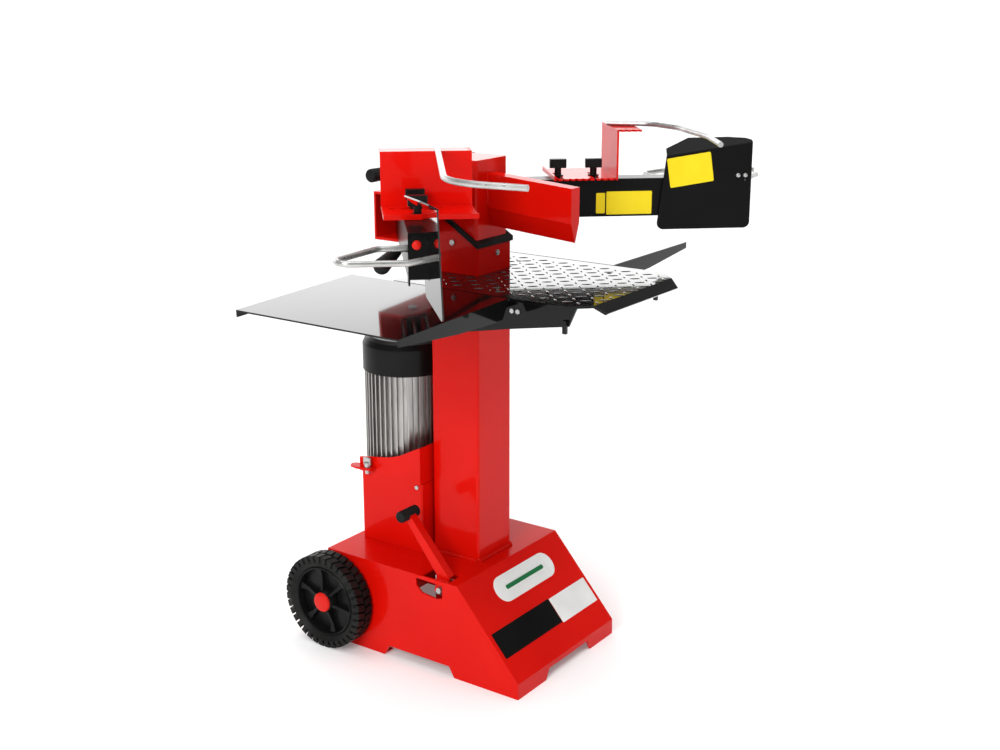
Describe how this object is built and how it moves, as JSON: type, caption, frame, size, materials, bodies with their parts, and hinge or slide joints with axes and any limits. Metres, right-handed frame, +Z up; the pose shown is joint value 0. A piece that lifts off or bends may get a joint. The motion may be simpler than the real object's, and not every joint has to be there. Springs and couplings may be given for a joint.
{
  "type": "log splitter",
  "caption": "Vertical electric hydraulic log splitter: square column with a descending wedge ram, holding arms with hand guards, folding side tables and wheels.",
  "frame": {"origin": "point on the floor under the axis of the square column", "axes": "+Z up, -Y towards the operator (the side the wedge faces), +X to the right of the column seen from behind the operator"},
  "size_m": [1.2471, 0.8134, 1.0572],
  "materials": {
    "red_paint": "gloss",
    "black_gloss": "gloss",
    "black_satin": "satin",
    "zinc": "satin",
    "machined_steel": "machined",
    "rubber": "matte",
    "black_plastic": "moulded",
    "tyre": "matte",
    "aluminium": "cast",
    "green_plastic": "gloss",
    "red_plastic": "gloss",
    "label_yellow": "printed film",
    "label_white": "printed film"
  },
  "bodies": {
    "frame": {"base_housing": "red_paint", "axle": "zinc", "column": "red_paint", "column_seal": "rubber", "guide_pads": "black_plastic", "bolts": "zinc", "cylinder_barrel": "machined_steel", "control_valve": "aluminium", "pump_housing": "red_paint", "pump_collar": "red_paint", "gear_pump": "aluminium", "motor_body": "aluminium", "fan_cover": "black_plastic", "log_table": "black_gloss", "table_bracket": "black_gloss", "side_table_hinges": "black_gloss", "arm_bracket": "red_paint", "pivot_pins": "zinc", "transport_handle": "red_paint", "transport_grips": "rubber", "switch_box": "black_plastic", "oil_pipe": "machined_steel", "return_springs": "zinc"},
    "ram": {"ram_tube": "red_paint", "splitting_wedge": "red_paint", "piston_rod": "machined_steel"},
    "shift_rod": {"shift_rod": "red_paint"},
    "motor_rotor": {"motor_rotor": "machined_steel", "motor_fan": "black_plastic"},
    "start_button": {"start_button": "green_plastic"},
    "stop_button": {"stop_button": "red_plastic"},
    "base_lever": {"base_lever": "red_paint", "base_lever_grip": "rubber"},
    "vent_screw": {"vent_screw": "zinc"},
    "left_side_table": {"left_side_table": "black_gloss"},
    "left_arm": {"left_arm": "black_satin", "left_guard": "black_satin", "left_hand_hoop": "zinc"},
    "left_claw": {"left_claw": "red_paint", "left_log_rod": "zinc"},
    "left_knob_inner": {"left_knob_inner": "black_plastic"},
    "left_knob_outer": {"left_knob_outer": "black_plastic"},
    "left_handle": {"left_handle": "zinc", "left_handle_grip": "rubber"},
    "left_link": {"left_link_bar": "red_paint"},
    "left_wheel": {"left_tyre": "tyre", "left_wheel_rim": "black_plastic"},
    "right_side_table": {"right_side_table": "black_gloss"},
    "right_arm": {"right_arm": "black_satin", "right_guard": "black_satin", "right_hand_hoop": "zinc"},
    "right_claw": {"right_claw": "red_paint", "right_log_rod": "zinc"},
    "right_knob_inner": {"right_knob_inner": "black_plastic"},
    "right_knob_outer": {"right_knob_outer": "black_plastic"},
    "right_handle": {"right_handle": "zinc", "right_handle_grip": "rubber"},
    "right_link": {"right_link_bar": "red_paint"},
    "right_wheel": {"right_tyre": "tyre", "right_wheel_rim": "black_plastic"}
  },
  "joints": [
    {"name": "ram_lift", "type": "slide", "parent": "frame", "child": "ram", "axis": [0, 0, 1], "range_m": [0, 0.48]},
    {"name": "valve_shift", "type": "slide", "parent": "frame", "child": "shift_rod", "axis": [0, 0, -1], "range_m": [0, 0.012], "stiffness_N_per_m": 900, "springref_m": -0.01, "deforming": ["return_springs"]},
    {"name": "rotor_spin", "type": "hinge", "parent": "frame", "child": "motor_rotor", "pos_m": [0, 0.168, 0.45], "axis": [0, 0, 1], "continuous": true},
    {"name": "start_press", "type": "slide", "parent": "frame", "child": "start_button", "axis": [-1, 0, 0], "range_m": [0, 0.003], "stiffness_N_per_m": 400, "springref_m": -0.002},
    {"name": "stop_press", "type": "slide", "parent": "frame", "child": "stop_button", "axis": [-1, 0, 0], "range_m": [0, 0.003], "stiffness_N_per_m": 400, "springref_m": -0.002},
    {"name": "base_lever_tilt", "type": "hinge", "parent": "frame", "child": "base_lever", "pos_m": [-0.163, -0.042, 0.176], "axis": [1, 0, 0], "range_deg": [-12, 10]},
    {"name": "vent_turn", "type": "hinge", "parent": "frame", "child": "vent_screw", "pos_m": [-0.101, 0.194, 0.366], "axis": [0, 0, 1], "continuous": true},
    {"name": "left_table_fold", "type": "hinge", "parent": "frame", "child": "left_side_table", "pos_m": [-0.188, 0, 0.777], "axis": [0, -1, 0], "range_deg": [0, 86]},
    {"name": "left_arm_swing", "type": "hinge", "parent": "frame", "child": "left_arm", "pos_m": [-0.117, 0.058, 0.9], "axis": [0, 0, -1], "range_deg": [-10, 6]},
    {"name": "left_claw_slide", "type": "slide", "parent": "left_arm", "child": "left_claw", "axis": [-0.6665, 0.7455, 0], "range_m": [-0.034, 0.034]},
    {"name": "left_knob_inner_turn", "type": "hinge", "parent": "left_arm", "child": "left_knob_inner", "pos_m": [-0.26982, -0.07864, 0.96], "axis": [0, 0, 1], "continuous": true},
    {"name": "left_knob_outer_turn", "type": "hinge", "parent": "left_arm", "child": "left_knob_outer", "pos_m": [-0.32424, -0.1273, 0.96], "axis": [0, 0, 1], "continuous": true},
    {"name": "left_handle_press", "type": "hinge", "parent": "left_arm", "child": "left_handle", "pos_m": [-0.36673, -0.16529, 0.905], "axis": [0.6665, -0.7455, 0], "range_deg": [0, 22], "stiffness_Nm_per_rad": 2, "springref_deg": -22.92},
    {"name": "left_link_pull", "type": "slide", "parent": "left_arm", "child": "left_link", "axis": [0.7455, 0.6665, 0], "range_m": [0, 0.0086]},
    {"name": "left_wheel_roll", "type": "hinge", "parent": "frame", "child": "left_wheel", "pos_m": [-0.202, 0.222, 0.1], "axis": [1, 0, 0], "continuous": true},
    {"name": "right_table_fold", "type": "hinge", "parent": "frame", "child": "right_side_table", "pos_m": [0.188, 0, 0.777], "axis": [0, 1, 0], "range_deg": [0, 88]},
    {"name": "right_arm_swing", "type": "hinge", "parent": "frame", "child": "right_arm", "pos_m": [0.117, 0.058, 0.9], "axis": [0, 0, 1], "range_deg": [-10, 6]},
    {"name": "right_claw_slide", "type": "slide", "parent": "right_arm", "child": "right_claw", "axis": [0.7431, 0.6691, 0], "range_m": [-0.034, 0.034]},
    {"name": "right_knob_inner_turn", "type": "hinge", "parent": "right_arm", "child": "right_knob_inner", "pos_m": [0.22138, -0.05793, 0.96], "axis": [0, 0, 1], "continuous": true},
    {"name": "right_knob_outer_turn", "type": "hinge", "parent": "right_arm", "child": "right_knob_outer", "pos_m": [0.27023, -0.11218, 0.96], "axis": [0, 0, 1], "continuous": true},
    {"name": "right_handle_press", "type": "hinge", "parent": "right_arm", "child": "right_handle", "pos_m": [0.34116, -0.19095, 0.905], "axis": [0.7431, 0.6691, 0], "range_deg": [0, 22], "stiffness_Nm_per_rad": 2, "springref_deg": -22.92},
    {"name": "right_link_pull", "type": "slide", "parent": "right_arm", "child": "right_link", "axis": [-0.6691, 0.7431, 0], "range_m": [0, 0.0086]},
    {"name": "right_wheel_roll", "type": "hinge", "parent": "frame", "child": "right_wheel", "pos_m": [0.202, 0.222, 0.1], "axis": [1, 0, 0], "continuous": true}
  ],
  "couplings": [
    {"joint": "left_link_pull", "follows": "left_handle_press", "m_per_rad": 0.022},
    {"joint": "right_link_pull", "follows": "right_handle_press", "m_per_rad": 0.022}
  ]
}
